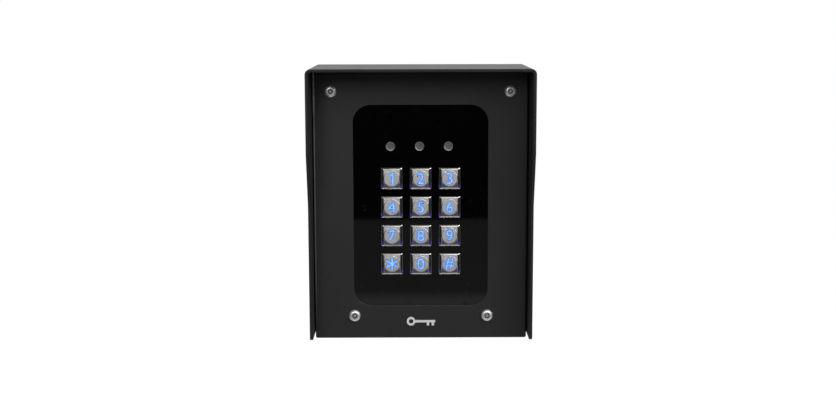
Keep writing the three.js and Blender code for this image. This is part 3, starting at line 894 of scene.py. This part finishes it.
def key_tree(depth):
    """A square plated cap with four bevels and a raised round disc in its face."""
    tree = Tree("key_cap", {"Half": "Float", "Depth": "Float", "Bevel": "Material", "Face": "Material"})
    steps = [(1 - KEY_RIM_DROP / depth, 1.0)]
    for reach, drop in KEY_BEVEL:
        inward = (KEY_BODY_HALF - reach) / (KEY_BODY_HALF - KEY_FACE_HALF)
        share = 1 - (1 - KEY_FACE_WIDTH_SHARE) * inward
        steps.append((1 - KEY_SINK - drop / depth, reach / KEY_BODY_HALF, share))
    start = tree.painted(tree.square(KEY_CORNER_ROUND), tree.given["Bevel"])
    cap = tree.stack(start, steps, crown=tree.given["Face"])
    cap = tree.scaled(cap, tree.given["Half"], tree.given["Depth"])
    rim = [(0.966, 1.0), (0.984, 0.993), (0.994, 0.976), (0.999, 0.954), (1.0, 0.93)]
    disc = tree.painted(tree.disc(KEY_DISC_SIDES), tree.given["Bevel"])
    disc = tree.stack(disc, rim, crown=tree.given["Face"])
    sockets = {0: tree.given["Half"], 1: DISC_SHARE}
    width = tree.node("ShaderNodeMath", {"operation": "MULTIPLY"}, sockets)["Value"]
    disc = tree.scaled(disc, width, tree.given["Depth"])
    whole = tree.node("GeometryNodeJoinGeometry", None, {"Geometry": (cap, disc)})["Geometry"]
    tree.finish_with(placed_copies(tree, whole))
    return tree


# ------------------------------------------------------------------ key figures

FIGURES = dict(zip(KEY_NAMES, "123456789*0#"))
FIGURE_HEIGHT = 7.9
FIGURE_DEPTH = 0.2
FIGURE_SEAT = 0.15  # how deep a figure sits in its key
LETTER_SIZE = 1.36
# How much each layer's strokes are swollen, and how far it is lifted: the edge with its painted shade,
# then the core.
FIGURE_LAYERS = [(0.05, 0.0), (-0.004, 0.05)]
# Figures drawn as straight strokes, one unit high, and the width of their strokes.
STROKES = {
    "*": [((0, -0.5), (0, 0.5)), ((-0.43, -0.25), (0.43, 0.25)), ((-0.43, 0.25), (0.43, -0.25))],
    "1": [((0.05, -0.5), (0.05, 0.5)), ((0.05, 0.42), (-0.17, 0.25))],
}
STROKE_WIDTH = {"*": 0.12, "1": 0.15}
STROKE_THICK = 0.02


def stroke_mesh(name, strokes, width):
    """Straight strokes of one width, each a closed flat bar."""
    points, faces = [], []
    for start, end in strokes:
        start, end = Vector(start), Vector(end)
        aside = (end - start).normalized().orthogonal() * width / 2
        corners = [start - aside, end - aside, end + aside, start + aside]
        first = len(points)
        points += [(p.x, p.y, z) for z in (0, STROKE_THICK) for p in corners]
        faces.append([first + i for i in range(3, -1, -1)])
        faces.append([first + 4 + i for i in range(4)])
        for i in range(4):
            j = (i + 1) % 4
            faces.append([first + i, first + j, first + 4 + j, first + 4 + i])
    mesh = bpy.data.meshes.new(name)
    mesh.from_pydata(points, [], faces)
    return mesh


def letter_mesh(name, text, swell):
    """A figure from the built-in font, swollen or thinned a little."""
    curve = bpy.data.curves.new(name, "FONT")
    curve.body = text
    curve.size = LETTER_SIZE
    curve.extrude = STROKE_THICK / 2
    curve.offset = swell
    curve.resolution_u = 6
    letter = bpy.data.objects.new(name, curve)
    bpy.context.scene.collection.objects.link(letter)
    graph = bpy.context.evaluated_depsgraph_get()
    mesh = bpy.data.meshes.new_from_object(letter.evaluated_get(graph), depsgraph=graph)
    bpy.data.objects.remove(letter)
    bpy.data.curves.remove(curve)
    return mesh


def figure_layer(name, text, swell):
    """One layer of a figure as a bmesh, in the font's own units and facing +Z."""
    if text in STROKES:
        mesh = stroke_mesh(name, STROKES[text], STROKE_WIDTH[text] + 2 * swell)
    else:
        mesh = letter_mesh(name, text, swell)
    layer = bmesh.new()
    layer.from_mesh(mesh)
    bpy.data.meshes.remove(mesh)
    bmesh.ops.remove_doubles(layer, verts=layer.verts, dist=1e-4)
    return layer


def span(layer, axis):
    """Lowest and highest place of a bmesh's points along one axis."""
    places = [vert.co[axis] for vert in layer.verts]
    return min(places), max(places)


def figure_object(name, text, centre):
    """A flat raised figure facing -Y: a deep blue outline, painted shade along the figure's edge, with a
    brighter core on it.
    """
    layers = [figure_layer(name, text, swell) for swell, _ in FIGURE_LAYERS]
    middle = Vector([sum(span(layers[0], axis)) / 2 for axis in range(3)])
    low, high = span(layers[0], 1)
    scale = FIGURE_HEIGHT / (high - low)
    whole = bmesh.new()
    for index, (layer, (_, lift)) in enumerate(zip(layers, FIGURE_LAYERS)):
        for vert in layer.verts:
            local = vert.co - middle
            out = FIGURE_DEPTH + lift if local.z > 0 else 0.0
            place = (local.x * scale + centre[0], centre[1] - out, local.y * scale + centre[2])
            vert.co = Vector(place) * MM
        bmesh.ops.recalc_face_normals(layer, faces=layer.faces)
        for face in layer.faces:
            face.material_index = index
        carrier = bpy.data.meshes.new(name)
        layer.to_mesh(carrier)
        layer.free()
        whole.from_mesh(carrier)
        bpy.data.meshes.remove(carrier)
    mesh = bpy.data.meshes.new(name)
    whole.to_mesh(mesh)
    whole.free()
    mesh.materials.append(FIGURE_SHADED_EDGE)
    mesh.materials.append(FIGURE_CORE)
    piece = bpy.data.objects.new(name, mesh)
    bpy.context.scene.collection.objects.link(piece)
    return piece


def keys():
    depth = KEY_HIGH.y - KEY_LOW.y
    tree = key_tree(depth)
    for name in KEY_NAMES:
        centre = node_centre(f"key_{name}")
        place = (centre.x, KEY_HIGH.y, centre.z)
        body = f"key_{name}_body"
        cap = tree.grown_on(
            f"key_cap_{name}",
            [place],
            Half=KEY_BODY_HALF * MM,
            Depth=depth * MM,
            Bevel=CHROME,
            Face=SATIN,
        )
        stands_for(cap, "chromed_key", f"key_{name}", body=body)
        seat = (centre.x, KEY_FRONT_Y + FIGURE_SEAT, centre.z)
        figure = figure_object(f"key_figure_{name}", FIGURES[name], seat)
        stands_for(figure, "blue_light", f"key_{name}_legend", body=body)


# ------------------------------------------------------------------ pieces kept from the CAD

KEPT = {
    "fascia_gasket": RUBBER,
    "keymat": SILICONE,
    "circuit_board": BOARD,
    "relay": BLACK_PLASTIC,
    "microcontroller": BLACK_PLASTIC,
    "buzzer": BLACK_PLASTIC,
    "terminal_block": TERMINAL_GREEN,
    "tamper_switch": BLACK_PLASTIC,
    "tamper_plunger": DIFFUSER,
    "tamper_post": ZINC,
    "cable_grommet": RUBBER,
}
for corner in CORNERS:
    KEPT[f"pillar_{corner}"] = ZINC
    KEPT[f"board_screw_{corner}"] = ZINC
for number in range(1, 5):
    KEPT[f"fascia_nut_{number}"] = ZINC

for node, finish in KEPT.items():
    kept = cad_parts[node]
    kept.data.materials.clear()
    kept.data.materials.append(finish)

hood_shell()
panel_shell()
refined("fascia_gloss", "keypad_fascia", GLOSS, "gloss_black", width=0.25)
refined("back_pan", "back_plate", POWDER, "painted_steel", width=0.3)
refined("key_badge", "badge", BADGE_METAL, "stainless_steel", width=0.18)
panel_screws()
indicator_lenses()
keys()


# ------------------------------------------------------------------ studio

# Places and sizes here are in metres. The floor's bands are measured forward from the wall.
FLOOR_DROP = 0.6
FLOOR_FRONT = -3.72
FLOOR_BACK = 3.0
FLOOR_HALF = 1.0
# Glow of the floor's bands as the reader's lower faces reflect them, from the wall forward,
# and where each band ends, with the width of its soft edge.
FLOOR_UNDER, UNDER_END = 0.8, (0.4, 0.3)
FLOOR_MIDDLE, MIDDLE_END = 0.03, (2.05, 0.3)
FLOOR_NEAR_BAND, NEAR_BAND_END = 0.75, (2.47, 0.12)
FLOOR_FAR = 0.26
DOME_FRONT = 0.02
DOME_BACK = 0.9
DOME_TOP = 0.3
LIGHT_TARGET = Vector((0.0, -0.05, 0.0))
# Name, place, width, height and watts of each soft light.
SOFTBOXES = [
    ("overhead", (0.6, -1.0, 1.1), 1.5, 0.8, 12.1),
    ("upper_left", (-0.5, -1.4, 0.6), 0.5, 0.5, 4.3),
    ("side_right", (1.3, -1.0, 0.6), 0.5, 0.5, 4.8),
]
CAMERA_PLACE = (-0.0063, -0.885, 0.1239)
CAMERA_PITCH = math.radians(8.266)
CAMERA_YAW = math.radians(0.311)
CAMERA_ROLL = math.radians(0.115)
CAMERA_LENS = 54.98


def floor():
    """A plain pale floor well below the reader, lit evenly to white where the camera sees it."""
    corners = [
        (-FLOOR_HALF, FLOOR_FRONT),
        (FLOOR_HALF, FLOOR_FRONT),
        (FLOOR_HALF, FLOOR_BACK),
        (-FLOOR_HALF, FLOOR_BACK),
    ]
    finish = Finish("pale_floor", roughness=0.8, specular_ior_level=0.1, emission_strength=1.0)
    finish.set("Base Color", grey(0.05))
    ahead = finish.axis("Y") * -MM
    glow = finish.mix(ahead.above(*UNDER_END), grey(FLOOR_UNDER), grey(FLOOR_MIDDLE))
    glow = finish.mix(ahead.above(*MIDDLE_END), glow, grey(FLOOR_NEAR_BAND))
    glow = finish.mix(ahead.above(*NEAR_BAND_END), glow, grey(FLOOR_FAR))
    seen = finish.node("ShaderNodeLightPath", output="Is Camera Ray")
    finish.set("Emission Color", finish.mix(seen, glow, grey(1.0)))
    points = [(x / MM, y / MM, -FLOOR_DROP / MM) for x, y in corners]
    mesh_object("floor", points, [(0, 1, 2, 3)], finish.material)


def studio_world():
    """White behind the reader for the camera; for its light, a dome that is dim in front."""
    world = bpy.data.worlds.new("studio")
    world.use_nodes = True
    dome = Nodes(world.node_tree)
    coordinate = dome.node("ShaderNodeTexCoord", output="Generated")
    behind = dome.split(coordinate, "Y").above(0.1, 0.8)
    height = dome.split(coordinate, "Z").above(0.35, 0.9)
    level = DOME_FRONT + behind * (DOME_BACK - DOME_FRONT) + height * DOME_TOP
    light = dome.node("ShaderNodeBackground", None, {"Color": grey(1.0), "Strength": level})
    white = dome.node("ShaderNodeBackground", None, {"Color": grey(1.0), "Strength": 1.0})
    seen = dome.node("ShaderNodeLightPath", output="Is Camera Ray")
    mixed = dome.node("ShaderNodeMixShader", None, {0: seen, 1: light, 2: white})
    dome.node("ShaderNodeOutputWorld", None, {"Surface": mixed}, output=None)
    bpy.context.scene.world = world


def softbox(name, place, width, height, watts):
    light = bpy.data.lights.new(name, "AREA")
    light.shape = "RECTANGLE"
    light.size = width
    light.size_y = height
    light.energy = watts
    lamp = bpy.data.objects.new(name, light)
    lamp.location = place
    lamp.rotation_euler = (LIGHT_TARGET - Vector(place)).to_track_quat("-Z", "Y").to_euler()
    bpy.context.scene.collection.objects.link(lamp)


def camera():
    """A camera in front of the reader and a little above it, looking down at the keys."""
    ahead = Vector((
        math.sin(CAMERA_YAW) * math.cos(CAMERA_PITCH),
        math.cos(CAMERA_YAW) * math.cos(CAMERA_PITCH),
        -math.sin(CAMERA_PITCH),
    ))
    right = Vector((math.cos(CAMERA_YAW), -math.sin(CAMERA_YAW), 0))
    down = ahead.cross(right)
    c, s = math.cos(CAMERA_ROLL), math.sin(CAMERA_ROLL)
    right, down = c * right + s * down, c * down - s * right
    turn = Matrix((right, -down, -ahead)).transposed()
    lens = bpy.data.cameras.new("camera")
    lens.lens = CAMERA_LENS
    lens.sensor_width = 36
    viewer = bpy.data.objects.new("camera", lens)
    viewer.matrix_world = Matrix.Translation(CAMERA_PLACE) @ turn.to_4x4()
    bpy.context.scene.collection.objects.link(viewer)
    bpy.context.scene.camera = viewer


floor()
studio_world()
for box in SOFTBOXES:
    softbox(*box)
camera()
bpy.context.scene.view_settings.view_transform = "Standard"
